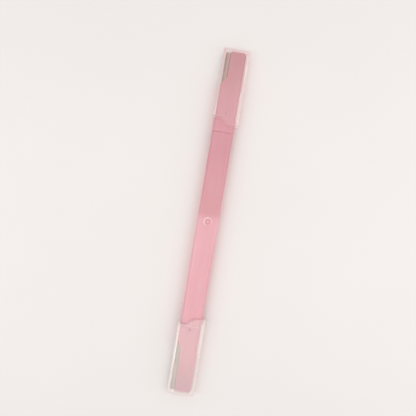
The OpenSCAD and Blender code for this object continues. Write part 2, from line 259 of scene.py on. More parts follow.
def give(group, out_node, results):
    """Connects results, a map of output name to socket, to the group's outputs, and prints the group."""
    for label, socket in results.items():
        group.links.new(socket, out_node.inputs[label])
    inputs = [item.name for item in group.interface.items_tree if item.in_out == "INPUT"]
    print(group.name, "takes", inputs, "and gives", list(results))


def math_node(tree, operation, *values):
    """One sum on one or two values or sockets."""
    return place(tree, "ShaderNodeMath", dict(enumerate(values)), operation=operation).outputs[0]


def vector_node(tree, operation, *values):
    """The same for places, directions and colours."""
    return place(tree, "ShaderNodeVectorMath", dict(enumerate(values)), operation=operation).outputs[0]


def melt_streaks_group():
    """Faint streaks where the melt flowed. Streaks is about 0.5 and swings by Strength."""
    inputs = {"Width mm": 1.5, "Stretch": 12.0, "Strength": 0.5}
    group, given, out = group_of("melt_streaks", inputs, ["Streaks"])
    across = math_node(group, "DIVIDE", 1.0, given.outputs["Width mm"])
    along = math_node(group, "DIVIDE", across, given.outputs["Stretch"])
    rates = place(group, "ShaderNodeCombineXYZ", {"X": across, "Y": along, "Z": across}).outputs[0]
    spot = vector_node(group, "MULTIPLY", object_millimetres(group), rates)
    noise = noise_at(group, spot, rate=1.0, detail=3.0)["Fac"]
    off_middle = math_node(group, "SUBTRACT", noise, NOISE_MIDDLE)
    swing = math_node(group, "MULTIPLY", off_middle, given.outputs["Strength"])
    give(group, out, {"Streaks": math_node(group, "ADD", swing, NOISE_MIDDLE)})
    return group


melt_streaks = melt_streaks_group()

# %% [markdown]
# # The mould's grain
# A spark-eroded mould leaves a fine matt grain on the plastic, far too fine to model as relief. Fine
# noise taken as a height does it: a Bump node tilts the light by it and leaves the mesh as it is. The
# group puts the height out in millimetres, so that each finish says how coarse and how deep its grain
# is.

# %% Satin grain


def satin_grain_group():
    """The fine grain that a spark-eroded mould leaves: a height in millimetres for a bump."""
    group, given, out = group_of("satin_grain", {"Grain mm": 0.12, "Depth mm": 0.004}, ["Height"])
    rate = math_node(group, "DIVIDE", 1.0, given.outputs["Grain mm"])
    grain = noise_at(group, object_millimetres(group), rate, detail=2.0)["Fac"]
    give(group, out, {"Height": math_node(group, "MULTIPLY", grain, given.outputs["Depth mm"])})
    return group


satin_grain = satin_grain_group()

# %% [markdown]
# # What hands leave
# Fingers leave soft greasy patches, and a drawer leaves hairline scratches. The patches are large
# soft noise. For the scratches, the borders of a cell pattern are thin lines, and its places are bent
# by slow noise first, so that they don't look like a net. Real scratches could be drawn one by one,
# but at this size only their gleam is seen. They show where the patches are, because wear comes in
# places. The remap helper turns a range of a value into a mask from 0 to 1 with soft ends, as nearly
# every finish here does.

# %% Handling marks
BENDS_PER_MM = 0.11
BEND_MM = 9.0
SMUDGES_START = 0.45
SMUDGES_FULL = 0.7


def remap(tree, value, low, high, to_low=0.0, to_high=1.0):
    """Spreads value from low..high onto to_low..to_high, smoothly and clamped."""
    sockets = {"Value": value, "From Min": low, "From Max": high, "To Min": to_low, "To Max": to_high}
    return place(tree, "ShaderNodeMapRange", sockets, interpolation_type="SMOOTHSTEP").outputs["Result"]


def handling_marks_group():
    """What hands leave, from 0 to 1: Smudges are soft patches and Hairlines are thin scratches."""
    inputs = {"Smudge mm": 7.0, "Hairline mm": 5.0, "Hairline Width": 0.02}
    group, given, out = group_of("handling_marks", inputs, ["Smudges", "Hairlines"])
    spot = object_millimetres(group)
    smudge_rate = math_node(group, "DIVIDE", 1.0, given.outputs["Smudge mm"])
    smudges = noise_at(group, spot, smudge_rate, detail=4.0)["Fac"]
    patchy = remap(group, smudges, SMUDGES_START, SMUDGES_FULL)
    bend = noise_at(group, spot, rate=BENDS_PER_MM, detail=1.0)["Color"]
    moved = vector_node(group, "ADD", spot, vector_node(group, "MULTIPLY", bend, (BEND_MM,) * 3))
    cell_rate = math_node(group, "DIVIDE", 1.0, given.outputs["Hairline mm"])
    sockets = {"Vector": moved, "Scale": cell_rate}
    cells = place(group, "ShaderNodeTexVoronoi", sockets, feature="DISTANCE_TO_EDGE")
    near = remap(group, cells.outputs["Distance"], 0.0, given.outputs["Hairline Width"], 1.0, 0.0)
    give(group, out, {"Smudges": patchy, "Hairlines": math_node(group, "MULTIPLY", near, patchy)})
    return group


handling_marks = handling_marks_group()

# %% [markdown]
# # Where the plastic is thin
# More light gets through an edge than through a thick wall, so the edges are painted paler, as
# painted light that stands for what shines through them. The Bevel node gives the direction that
# the surface would have with its edges rounded, and where that differs from the real one, there is
# an edge. Edges painted by hand would give more control, but this mask follows the mesh by itself.

# %% Thin edges
EDGE_SAMPLES = 6


def thin_edges_group():
    """Where the surface turns within Reach mm, from 0 on the flats to 1 on the edges."""
    group, given, out = group_of("thin_edges", {"Reach mm": 0.8, "Contrast": 6.0}, ["Edge"])
    reach = math_node(group, "MULTIPLY", given.outputs["Reach mm"], MM)
    rounded = place(group, "ShaderNodeBevel", {"Radius": reach}, samples=EDGE_SAMPLES).outputs[0]
    real = place(group, "ShaderNodeNewGeometry").outputs["Normal"]
    same = place(group, "ShaderNodeVectorMath", {0: rounded, 1: real}, operation="DOT_PRODUCT")
    turned = math_node(group, "SUBTRACT", 1.0, same.outputs["Value"])
    sockets = {0: turned, 1: given.outputs["Contrast"]}
    strong = place(group, "ShaderNodeMath", sockets, operation="MULTIPLY", use_clamp=True)
    give(group, out, {"Edge": strong.outputs[0]})
    return group


thin_edges = thin_edges_group()

# %% [markdown]
# # Pink translucent plastic
# The handle and the heads are one pink polymer. Light goes a millimetre or two into it, which fills
# the shadows with pink and makes thin edges paler than thick walls: the subsurface light does part of
# this, and painted light on the edges does the rest. Glass-like transmission would show the tangs
# inside far too clearly, so the body colour is a diffuse one with some subsurface light, under a satin
# skin. Part of the light that falls on the pink goes on through it, so that its own shadows stay pink.

# %% Colours of the pink
# Painted light: how much of a thin edge's colour comes from the pale pink.
PAINTED_EDGE_LIGHT_SHARE = 0.45


def axes_of(tree):
    """The place on the piece as three separate numbers: X, Y and Z in millimetres."""
    return place(tree, "ShaderNodeSeparateXYZ", {"Vector": object_millimetres(tree)}).outputs


def use(tree, group, **values):
    """Places a shared effect; an underscore in a value's name stands for a space."""
    node = place(tree, "ShaderNodeGroup", node_tree=group)
    for label, value in values.items():
        node.inputs[label.replace("_", " ")].default_value = value
    return node.outputs


def blend_colours(tree, share, first, second):
    """A mix of two colours or colour sockets by a share from 0 to 1."""
    node = place(tree, "ShaderNodeMix", {"Factor": share}, data_type="RGBA")
    inputs = [socket for socket in node.inputs if socket.type == "RGBA"]
    for socket, colour in zip(inputs, (first, second)):
        if isinstance(colour, bpy.types.NodeSocket):
            tree.links.new(colour, socket)
        else:
            socket.default_value = (*colour, 1)
    return next(socket for socket in node.outputs if socket.type == "RGBA")


def pink_colours(tree, pink, shading_turns, pale):
    """Pink with streaks, painted light on thin edges, and painted shade that turns along Y. Each turn
    is where it starts, where it is complete, both in millimetres along Y, and the colour it turns to."""
    body = pink
    for starts, ends, shading_pink in shading_turns:
        body = blend_colours(tree, remap(tree, axes_of(tree)["Y"], starts, ends), body, shading_pink)
    deeper = place(tree, "ShaderNodeHueSaturation", {"Saturation": 1.10, "Value": 0.955, "Color": body})
    streaks = use(tree, melt_streaks, Width_mm=1.8, Stretch=14.0, Strength=1.4)["Streaks"]
    colour = blend_colours(tree, streaks, deeper.outputs["Color"], body)
    edge = use(tree, thin_edges, Reach_mm=0.7, Contrast=5.0)["Edge"]
    # Painted light on the thin edges.
    return blend_colours(tree, math_node(tree, "MULTIPLY", edge, PAINTED_EDGE_LIGHT_SHARE), colour, pale)


print("a thin edge takes", PAINTED_EDGE_LIGHT_SHARE, "of its colour from the pale pink")

# %% Pink plastic
POLYMER_IOR = 1.49
PINK_ROUGH = 0.34
PINK_SMUDGED = 0.07
PINK_SCRATCHED = 0.12
SCRATCH_DEPTH = 0.003
PINK_BUMP = 0.6
LIGHT_THROUGH = (1.0, 0.55, 0.60, 1)
THROUGH_SHARE = 0.6


def roughness(tree, base, parts):
    """A roughness of base, with each part's share added where the part's mask is 1."""
    rough = base
    for mask, share in parts:
        rough = math_node(tree, "ADD", math_node(tree, "MULTIPLY", mask, share), rough)
    return rough


def lighting_ray(tree):
    """1 for shadow and diffuse rays, which only carry light, and 0 for those that the eye follows."""
    ray = place(tree, "ShaderNodeLightPath").outputs
    return math_node(tree, "MAXIMUM", ray["Is Shadow Ray"], ray["Is Diffuse Ray"])


def pink_plastic(name, pink, shading_turns, pale, touches):
    """The pink under a satin skin. touches is a function that adds a piece's painted light and shade
    to its colour and may polish its roughness."""
    material, tree = tree_of(name)
    marks = use(tree, handling_marks, Smudge_mm=9.0, Hairline_mm=6.0, Hairline_Width=0.012)
    parts = ((marks["Smudges"], PINK_SMUDGED), (marks["Hairlines"], PINK_SCRATCHED))
    rough = roughness(tree, PINK_ROUGH, parts)
    colour, rough = touches(tree, pink_colours(tree, pink, shading_turns, pale), rough)
    grain = use(tree, satin_grain, Grain_mm=0.14, Depth_mm=0.009)["Height"]
    scratches = math_node(tree, "MULTIPLY", marks["Hairlines"], SCRATCH_DEPTH)
    height = math_node(tree, "SUBTRACT", grain, scratches)
    bump = place(tree, "ShaderNodeBump", {"Height": height, "Distance": MM, "Strength": PINK_BUMP})
    skin = {
        "Base Color": colour,
        "Roughness": rough,
        "Normal": bump.outputs["Normal"],
        "IOR": POLYMER_IOR,
        "Subsurface Weight": 0.35,
        "Subsurface Radius": (1.0, 0.45, 0.40),
        "Subsurface Scale": 1.2 * MM,
        "Coat Weight": 0.12,
        "Coat Roughness": 0.22,
    }
    solid = place(tree, "ShaderNodeBsdfPrincipled", skin)
    pink_light = place(tree, "ShaderNodeBsdfTransparent", {"Color": LIGHT_THROUGH})
    share = math_node(tree, "MULTIPLY", lighting_ray(tree), THROUGH_SHARE)
    sockets = {0: share, 1: solid.outputs["BSDF"], 2: pink_light.outputs["BSDF"]}
    either = place(tree, "ShaderNodeMixShader", sockets)
    place(tree, "ShaderNodeOutputMaterial", {"Surface": either.outputs["Shader"]})
    return material


print("the pink lets", THROUGH_SHARE, "of a light ray go on, tinted", LIGHT_THROUGH[:3])

# %% [markdown]
# The ring's polish and its painted highlights
# The ring round the gate well is where the pink melt entered the mould. Its bead is thin and glossier
# than the satin bar, and a highlight is painted on its crest, strongest on its upper left. The gate's
# stub in the middle gets a painted highlight too, and the well's floor is painted a little lighter than
# the bar, as painted light that lifts the shade in the well. Bead, well and stub could be separate
# pieces, but the shape is there already: the distance from the ring's middle and the height above the
# floor, both in millimetres, tell them apart.

# %% Ring touches
RING_RADIUS = 2.2
WELL_RADIUS = 1.25
CREST_RADIUS = 1.75
STUB_RADIUS = 0.45
MASK_BLUR = 0.05
FACE_HEIGHT = 5.5
FRONT_START = FACE_HEIGHT - 1.5
FRONT_FULL = FACE_HEIGHT - 1.0
WELL_FULL = FACE_HEIGHT - 0.5
WELL_END = FACE_HEIGHT - 0.1
CREST_FADE = (0.15, 0.45)
# Painted highlight on the crest, from its lower right to its upper left:
CREST_HIGHLIGHT_SHARES = (0.15, 0.65)
CREST_SPAN = 2.4
CREST_HIGHLIGHT_PINK = (0.90, 0.72, 0.72)
# Painted light on the well's floor and a painted highlight on the stub:
WELL_PAINTED_LIGHT_SHARE = 0.2
WELL_PAINTED_LIGHT_PINK = (0.84, 0.50, 0.54)
STUB_HIGHLIGHT_SHARE = 0.45
STUB_HIGHLIGHT_PINK = (0.97, 0.76, 0.78)
BEAD_POLISH = 0.08


def distance(tree, along_x, along_y):
    """How far a place is from a middle, from its distances along X and along Y."""
    squared = [math_node(tree, "MULTIPLY", side, side) for side in (along_x, along_y)]
    return math_node(tree, "SQRT", math_node(tree, "ADD", *squared))


def product(tree, *masks):
    """Masks and shares multiplied together, so that one of 0 rules out all the others."""
    result = masks[0]
    for mask in masks[1:]:
        result = math_node(tree, "MULTIPLY", result, mask)
    return result


def ring_touches(tree, colour, rough):
    """Paints highlights on the bead's crest and the gate's stub, painted light in the well, and polishes
    the bead.
    """
    place_at = axes_of(tree)
    out_x = math_node(tree, "SUBTRACT", place_at["X"], ring_x / MM)
    out = distance(tree, out_x, place_at["Y"])
    in_front = remap(tree, place_at["Z"], FRONT_START, FRONT_FULL)
    in_ring = remap(tree, out, RING_RADIUS, RING_RADIUS + 2 * MASK_BLUR, 1.0, 0.0)
    inside = product(tree, in_front, in_ring)
    past_well = remap(tree, out, WELL_RADIUS - MASK_BLUR, WELL_RADIUS + MASK_BLUR)
    below = remap(tree, place_at["Z"], WELL_FULL, WELL_END, 1.0, 0.0)
    off_stub = remap(tree, out, STUB_RADIUS - MASK_BLUR, STUB_RADIUS + 2 * MASK_BLUR)
    from_crest = math_node(tree, "ABSOLUTE", math_node(tree, "SUBTRACT", out, CREST_RADIUS))
    near_crest = remap(tree, from_crest, *CREST_FADE, 1.0, 0.0)
    to_upper_left = math_node(tree, "SUBTRACT", place_at["Y"], out_x)
    crest_highlight = remap(tree, to_upper_left, -CREST_SPAN, CREST_SPAN, *CREST_HIGHLIGHT_SHARES)
    stub_highlight = remap(tree, out, STUB_RADIUS - MASK_BLUR, STUB_RADIUS + MASK_BLUR, STUB_HIGHLIGHT_SHARE, 0.0)
    # Painted highlight on the crest, painted light in the well and a painted highlight on the stub.
    colour = blend_colours(tree, product(tree, crest_highlight, near_crest, in_front), colour, CREST_HIGHLIGHT_PINK)
    colour = blend_colours(tree, product(tree, inside, below, off_stub, WELL_PAINTED_LIGHT_SHARE), colour, WELL_PAINTED_LIGHT_PINK)
    colour = blend_colours(tree, product(tree, in_front, stub_highlight), colour, STUB_HIGHLIGHT_PINK)
    polish = product(tree, inside, past_well, BEAD_POLISH)
    return colour, math_node(tree, "SUBTRACT", rough, polish)


print("the bead is", 2 * WELL_RADIUS, "to", 2 * RING_RADIUS, "mm across, round x", round(ring_x / MM, 2))

# %% [markdown]
# # Dimples and joints in the necks
# Each neck has a shallow dimple that its cap snaps over, and a fine joint where the head meets the
# handle. Shade is painted into the dimple, so that it looks deeper in colour than the neck. The
# joint's line gets painted light under the long cap and painted shade beside the short one. Both are
# fine relief in the frame. Deeper relief would show them as well, but it would change the razor's
# shape, and a little colour doesn't.

# %% Neck touches
DIMPLE_FROM_MIDDLE = 50.2
DIMPLE_FADE = (0.40, 0.90)
# Painted shade in a snap dimple.
DIMPLE_SHADE_PINK = (0.44, 0.17, 0.21)
JOINT_FADE = (0.18, 0.24)


def neck_touches(joint_y, joint_shading_pink, joint_shading_share, dimple_shade_share):
    """A function that paints shade into a neck's snap dimple, and paints the line round its joint at
    joint_y with painted shade on the short neck and painted light on the long one.
    """

    def touches(tree, colour, rough):
        """The colour with this painted light and shade on it, and the roughness as it was."""
        place_at = axes_of(tree)
        from_middle = math_node(tree, "ABSOLUTE", place_at["Y"])
        past_joint = math_node(tree, "SUBTRACT", from_middle, joint_y)
        joint_shading = remap(tree, past_joint, *JOINT_FADE, joint_shading_share, 0.0)
        # The joint's line: painted shade on the short neck, painted light on the long one.
        colour = blend_colours(tree, joint_shading, colour, joint_shading_pink)
        out_x = math_node(tree, "SUBTRACT", place_at["X"], ring_x / MM)
        out_y = math_node(tree, "SUBTRACT", from_middle, DIMPLE_FROM_MIDDLE)
        dimple_shade = remap(tree, distance(tree, out_x, out_y), *DIMPLE_FADE, dimple_shade_share, 0.0)
        # Painted shade in the dimple.
        return blend_colours(tree, dimple_shade, colour, DIMPLE_SHADE_PINK), rough

    return touches


SHORT_JOINT = handle_high.y / MM
LONG_JOINT = -handle_low.y / MM
# Painted shade along the short neck's joint, painted light along the long neck's joint.
SHORT_JOINT_SHADE_PINK = (0.36, 0.15, 0.18)
LONG_JOINT_LIGHT_PINK = (0.97, 0.78, 0.80)
short_neck = neck_touches(SHORT_JOINT, SHORT_JOINT_SHADE_PINK, joint_shading_share=0.4, dimple_shade_share=0.2)
long_neck = neck_touches(LONG_JOINT, LONG_JOINT_LIGHT_PINK, joint_shading_share=0.6, dimple_shade_share=0.6)
print("the joints lie", round(SHORT_JOINT, 1), "and", round(LONG_JOINT, 1), "mm from the middle")

# %% [markdown]
# # Three pinks
# The handle and the two heads are the same polymer in slightly different shades, and painted shade
# turns along each of them. The handle is painted duller above its ring than below it, both heads are
# painted darker towards their tips, and each end is painted darker under the mouth of its cap, where
# the long head's neck is darker than its middle. One even pink would be simpler, but it would look
# flat. Each turn below is where it starts, where it is complete, and the colour that it turns to.

# %% Handle's pink
PINK_LOWER = (0.765, 0.43, 0.475)
# Painted shade: the handle is darker under the long cap's lip and above its ring.
PINK_SHADED_UNDER_LIP = (0.69, 0.41, 0.457)
PINK_SHADED_MIDDLE = (0.672, 0.348, 0.381)
PINK_SHADED_UPPER = (0.648, 0.324, 0.370)
# A pale pink of painted light for the handle's thin edges.
EDGE_LIGHT_HANDLE = (0.88, 0.60, 0.62)
HANDLE_SHADING = (
    (-44.5, -47.5, PINK_SHADED_UNDER_LIP),
    (0.0, 4.5, PINK_SHADED_MIDDLE),
    (14.0, 36.0, PINK_SHADED_UPPER),
)
handle_pink = pink_plastic("handle_pink", PINK_LOWER, HANDLE_SHADING, EDGE_LIGHT_HANDLE, ring_touches)
print(handle_pink.name, "turns", len(HANDLE_SHADING), "times along the bar")

# %% Heads' pinks
# Painted shade: the long head's neck under its cap and its tip are darker than its middle.
PINK_LONG_SHADED_NECK = (0.68, 0.39, 0.445)
PINK_LONG_MIDDLE = (0.71, 0.41, 0.455)
PINK_LONG_SHADED_TIP = (0.555, 0.35, 0.39)
# A pale pink of painted light for the long head's thin edges.
EDGE_LIGHT_LONG = (0.80, 0.55, 0.58)
LONG_HEAD_SHADING = ((-50.0, -57.0, PINK_LONG_MIDDLE), (-57.0, -84.0, PINK_LONG_SHADED_TIP))
long_head_pink = pink_plastic("long_head_pink", PINK_LONG_SHADED_NECK, LONG_HEAD_SHADING, EDGE_LIGHT_LONG, long_neck)

# Painted shade: the short head is darker under its cap's mouth and towards its tip.
PINK_SHORT_NECK = (0.657, 0.33, 0.377)
PINK_SHORT_SHADED_UNDER = (0.630, 0.328, 0.374)
PINK_SHORT_SHADED_TIP = (0.53, 0.255, 0.28)
# A pale pink of painted light for the short head's thin edges.
EDGE_LIGHT_SHORT = (0.66, 0.40, 0.42)
SHORT_HEAD_SHADING = ((44.5, 48.5, PINK_SHORT_SHADED_UNDER), (49.0, 82.0, PINK_SHORT_SHADED_TIP))
short_head_pink = pink_plastic("short_head_pink", PINK_SHORT_NECK, SHORT_HEAD_SHADING, EDGE_LIGHT_SHORT, short_neck)
print("heads' pinks:", long_head_pink.name, short_head_pink.name)

# %% [markdown]
# # Ground steel
# A blade is a thin stainless strip, rolled bright along its length and then ground across its edge.
# The roll leaves fine lines along the strip, and the wheel leaves short lines across the ground face.
# A mask could be drawn for the ground face, but it tilts by a few degrees, so the surface's own
# direction tells the two apart. Thin lines of painted shade set the steel off along its edge and
# where it meets the head's plastic.

# %% Blade steel
ROLLED_LINES = (22.0, 0.5, 22.0)
GROUND_LINES = (0.8, 26.0, 0.8)
GROUND_TILT = (0.990, 0.998)
GROUND_SHARE = 0.75
SHADE_LINE_INSET = 0.35
SHADE_LINE_BLUR = 0.1
# The colour of the painted shade lines along the blade.
SHADE_LINE_COLOUR = (0.20, 0.16, 0.15)
STEEL_ROUGH = 0.22
STEEL_LINED = 0.20
STEEL_SMUDGED = 0.10
LINE_DEPTH = 0.003
STEEL_BUMP = 0.5


def fine_lines(tree, ground):
    """Fine lines along the strip, and across it where ground is 1, as a tone from 0 to 1."""
    spot = object_millimetres(tree)
    lines = []
    for rates in (ROLLED_LINES, GROUND_LINES):
        drawn = vector_node(tree, "MULTIPLY", spot, rates)
        lines.append(noise_at(tree, drawn, rate=1.0, detail=3.0)["Fac"])
    blend = place(tree, "ShaderNodeMix", {"Factor": ground, "A": lines[0], "B": lines[1]})
    return blend.outputs["Result"]


def steel_shade_lines(tree, edge_x, shown, share):
    """A mask of thin lines of painted shade along the edge at edge_x and along the plastic, shown mm
    behind it.
    """
    from_edge = math_node(tree, "SUBTRACT", axes_of(tree)["X"], edge_x)
    at_edge = remap(tree, from_edge, SHADE_LINE_INSET - SHADE_LINE_BLUR, SHADE_LINE_INSET + SHADE_LINE_BLUR, share, 0.0)
    inner = shown - SHADE_LINE_INSET
    at_plastic = remap(tree, from_edge, inner - SHADE_LINE_BLUR, inner + SHADE_LINE_BLUR, 0.0, share)
    return math_node(tree, "MAXIMUM", at_edge, at_plastic)


def blade_steel(name, tones, edge_x, shown, steel_shade_share):
    """Strip steel. tones are the dull and bright colours of its lines and its ground face's colour."""
    dull, bright, ground_colour = tones
    material, tree = tree_of(name)
    facing = place(tree, "ShaderNodeNewGeometry").outputs["True Normal"]
    upward = place(tree, "ShaderNodeSeparateXYZ", {"Vector": facing}).outputs["Z"]
    ground = remap(tree, math_node(tree, "ABSOLUTE", upward), *GROUND_TILT, 1.0, 0.0)
    fine = fine_lines(tree, ground)
    marks = use(tree, handling_marks, Smudge_mm=5.0, Hairline_mm=3.0, Hairline_Width=0.01)
    colour = blend_colours(tree, fine, dull, bright)
    colour = blend_colours(tree, product(tree, ground, GROUND_SHARE), colour, ground_colour)
    shade_lines = steel_shade_lines(tree, edge_x, shown, steel_shade_share)
    # Painted shade along the blade's edge and along the head's plastic.
    colour = blend_colours(tree, shade_lines, colour, SHADE_LINE_COLOUR)
    rough = roughness(tree, STEEL_ROUGH, ((fine, STEEL_LINED), (marks["Smudges"], STEEL_SMUDGED)))
    height = math_node(tree, "MULTIPLY", fine, LINE_DEPTH)
    bump = place(tree, "ShaderNodeBump", {"Height": height, "Distance": MM, "Strength": STEEL_BUMP})
    strip = {
        "Base Color": colour,
        "Metallic": 1.0,
        "Roughness": rough,
        "Normal": bump.outputs["Normal"],
    }
    shader = place(tree, "ShaderNodeBsdfPrincipled", strip)
    place(tree, "ShaderNodeOutputMaterial", {"Surface": shader.outputs["BSDF"]})
    return material


least_tilt = math.degrees(math.acos(GROUND_TILT[1]))
print("a face tilted by more than", round(least_tilt, 1), "degrees begins to look ground")

# %% Two steels
LONG_TONES = ((0.49, 0.455, 0.435), (0.60, 0.56, 0.54), (0.40, 0.365, 0.35))
# The short blade's tones are warmer and pinker: a painted reflection of the pink round it.
SHORT_PINK_REFLECTING_TONES = ((0.52, 0.43, 0.385), (0.64, 0.535, 0.475), (0.46, 0.365, 0.325))
long_edge_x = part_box("long_blade")[0].x / MM
short_edge_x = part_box("short_blade")[0].x / MM
long_steel = blade_steel("long_blade_steel", LONG_TONES, long_edge_x, shown=2.4, steel_shade_share=0.15)
short_steel = blade_steel("short_blade_steel", SHORT_PINK_REFLECTING_TONES, short_edge_x, shown=2.2, steel_shade_share=0.5)
print("the blades' edges lie at x", round(long_edge_x, 2), "and", round(short_edge_x, 2), "mm")

# %% [markdown]
# # The mouth of a cap
# A cap's mouth is an S-curve with a lip and a groove behind it. The lip is slightly cloudy, as a
# moulded lip is, and its very edge is tinted darker, which dims what shines through it into a fine
# line of painted shade on the pink. A mask could be painted along the curve, but how far out the
# mouth lies depends only on the place across the razor, so one smooth step gives the whole curve,
# on both caps. All measures of the mouth are in millimetres.

# %% Rim of the mouth
MOUTH_DROP = 3.1
MOUTH_RUN = 4.8
MOUTH_MID = -0.3
RIM_WIDTH = 1.2
RIM_FADE = 0.15
# Where the painted shade line along a mouth's edge fades out:
EDGE_SHADE_WIDTH = 0.45
EDGE_SHADE_BLUR = 0.1
short_cap_low, short_cap_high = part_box("short_blade_cap")
SPINE_MOUTH = short_cap_low.y / MM
BLADE_MOUTH = SPINE_MOUTH + MOUTH_DROP


def mouth_masks(tree, lip_share, mouth_shade_share):
    """Two masks: the lip between a cap's mouth and its groove, and the fine line of painted shade along
    its edge.
    """
    place_at = axes_of(tree)
    middle = ring_x / MM + MOUTH_MID
    ends = (middle - MOUTH_RUN / 2, middle + MOUTH_RUN / 2)
    mouth = remap(tree, place_at["X"], *ends, BLADE_MOUTH, SPINE_MOUTH)
    past = math_node(tree, "SUBTRACT", math_node(tree, "ABSOLUTE", place_at["Y"]), mouth)
    lip = remap(tree, past, RIM_WIDTH, RIM_WIDTH + RIM_FADE, lip_share, 0.0)
    shade_line_ends = (EDGE_SHADE_WIDTH - EDGE_SHADE_BLUR, EDGE_SHADE_WIDTH + EDGE_SHADE_BLUR)
    return lip, remap(tree, past, *shade_line_ends, mouth_shade_share, 0.0)


mouth_ends = [round(place_out, 1) for place_out in (SPINE_MOUTH, BLADE_MOUTH)]
print("a mouth lies", mouth_ends, "mm out, on the spine side and on the blade side")

# %% [markdown]
# # The roundings of a cap
# A mould is hard to polish in its corners, so the roundings of a clear cap are a little duller than
# its flat walls. The surface's own direction tells them apart, which saves a mask: on a wall it lies
# along one of the three axes, and on a rounding it lies between two of them.

# %% Roundings of the caps
TURNED_SPAN = (0.93, 0.995)


def turned_faces(tree):
    """1 on a cap's roundings, where the surface faces none of the three axes, and 0 on its walls."""
    facing = place(tree, "ShaderNodeNewGeometry").outputs["Normal"]
    parts = vector_node(tree, "ABSOLUTE", facing)
    sides = place(tree, "ShaderNodeSeparateXYZ", {"Vector": parts}).outputs
    flattest = math_node(tree, "MAXIMUM", math_node(tree, "MAXIMUM", sides["X"], sides["Y"]), sides["Z"])
    return remap(tree, flattest, *TURNED_SPAN, 1.0, 0.0)


turned_degrees = [round(math.degrees(math.acos(share))) for share in reversed(TURNED_SPAN)]
print("a cap's wall turns into a rounding over", turned_degrees, "degrees")

# %% [markdown]
# # Clear polished plastic
# The caps are a clear, slightly warm polymer. Real refraction draws the bright and dark lines in
# their walls, which a see-through paint with an alpha would miss, but it has two costs. Light that a
# wall throws back again and again inside it takes too many bounces to follow, so a trapped ray meets
# a pale glow instead. The glow is painted light, brighter on the side where a strip lamp stands, and
# it turns from one tone on the left to another on the right. And a lamp's shadow ray can't find its
# way through refraction, so for rays that only carry light the cap is a plain tinted transparency,
# and the razor under it stays lit. One function makes both finishes. The short cap is the clearer
# one, with a fainter rim and walls that glow pinker.

# %% Cap plastic
CAP_TONES = ((0.985, 0.975, 0.97), (1.0, 0.995, 0.99))
CAP_ROUGH = 0.09
CAP_SMUDGED = 0.05
CAP_CLOUDED = 0.35
CAP_TURNED = 0.16
WALL_CLEAR = (1.0, 0.985, 0.98)
RIM_CLEAR = (0.925, 0.88, 0.89)
# The tint of the painted shade along a mouth's edge.
EDGE_SHADE_TINT = (0.90, 0.68, 0.72)
EDGE_SHADOW = (0.70, 0.42, 0.48)
THROWN_BACK = 0.98
CAUGHT_AFTER = 3.5
GLOW_HALF_SPAN = 5.0


def cap_surface(tree, rim, edge_shade_line):
    """The colour and roughness of the clear plastic, with its cloudy rim, the painted shade along its
    edge and its marks.
    """
    streaks = use(tree, melt_streaks, Width_mm=2.5, Stretch=8.0, Strength=1.0)["Streaks"]
    colour = blend_colours(tree, streaks, *CAP_TONES)
    # Painted shade: the mouth's very edge dims what is seen through it.
    colour = blend_colours(tree, edge_shade_line, colour, EDGE_SHADE_TINT)
    marks = use(tree, handling_marks, Smudge_mm=6.0, Hairline_mm=8.0, Hairline_Width=0.008)
    parts = ((marks["Smudges"], CAP_SMUDGED), (rim, CAP_CLOUDED), (turned_faces(tree), CAP_TURNED))
    return colour, roughness(tree, CAP_ROUGH, parts)


def caught_light(tree):
    """1 where a ray inside a wall is thrown back whole, or where it has bounced too often to follow."""
    fresnel = place(tree, "ShaderNodeFresnel", {"IOR": POLYMER_IOR}).outputs["Fac"]
    from_inside = place(tree, "ShaderNodeNewGeometry").outputs["Backfacing"]
    trapped = product(tree, math_node(tree, "GREATER_THAN", fresnel, THROWN_BACK), from_inside)
    depth = place(tree, "ShaderNodeLightPath").outputs["Ray Depth"]
    return math_node(tree, "MAXIMUM", trapped, math_node(tree, "GREATER_THAN", depth, CAUGHT_AFTER))


def cap_plastic(name, glows, clearness, lip_share, mouth_shade_share):
    """Clear plastic whose walls give trapped light back as a painted glow, from a left to a right
    colour.
    """
    material, tree = tree_of(name)
    rim, edge_shade_line = mouth_masks(tree, lip_share, mouth_shade_share)
    colour, rough = cap_surface(tree, rim, edge_shade_line)
    clear = {
        "Base Color": colour,
        "Roughness": rough,
        "IOR": POLYMER_IOR,
        "Transmission Weight": clearness,
    }
    solid = place(tree, "ShaderNodeBsdfPrincipled", clear)
    # Painted light: the glow is brighter on the side where a strip lamp stands.
    to_right = remap(tree, axes_of(tree)["X"], -GLOW_HALF_SPAN, GLOW_HALF_SPAN)
    glow = place(tree, "ShaderNodeEmission", {"Color": blend_colours(tree, to_right, *glows)})
    walls = {0: caught_light(tree), 1: solid.outputs["BSDF"], 2: glow.outputs["Emission"]}
    wall = place(tree, "ShaderNodeMixShader", walls)
    tint = blend_colours(tree, rim, WALL_CLEAR, RIM_CLEAR)
    tint = blend_colours(tree, edge_shade_line, tint, EDGE_SHADOW)
    shadow = place(tree, "ShaderNodeBsdfTransparent", {"Color": tint})
    sockets = {0: lighting_ray(tree), 1: wall.outputs["Shader"], 2: shadow.outputs["BSDF"]}
    either = place(tree, "ShaderNodeMixShader", sockets)
    place(tree, "ShaderNodeOutputMaterial", {"Surface": either.outputs["Shader"]})
    return material


print("a ray in a cap's wall is caught after", math.ceil(CAUGHT_AFTER), "bounces")

# %% Two clear plastics
# Painted light: each cap's glow on its left and on its right; the short cap's glows pinker.
LONG_GLOWS = ((0.84, 0.73, 0.69), (0.82, 0.69, 0.66))
SHORT_GLOWS = ((0.72, 0.53, 0.53), (0.84, 0.64, 0.64))
long_clear = cap_plastic("long_cap_clear", LONG_GLOWS, clearness=0.93, lip_share=1.0, mouth_shade_share=0.55)
short_clear = cap_plastic("short_cap_clear", SHORT_GLOWS, clearness=0.98, lip_share=0.3, mouth_shade_share=0.2)
print("clear plastics:", long_clear.name, short_clear.name)

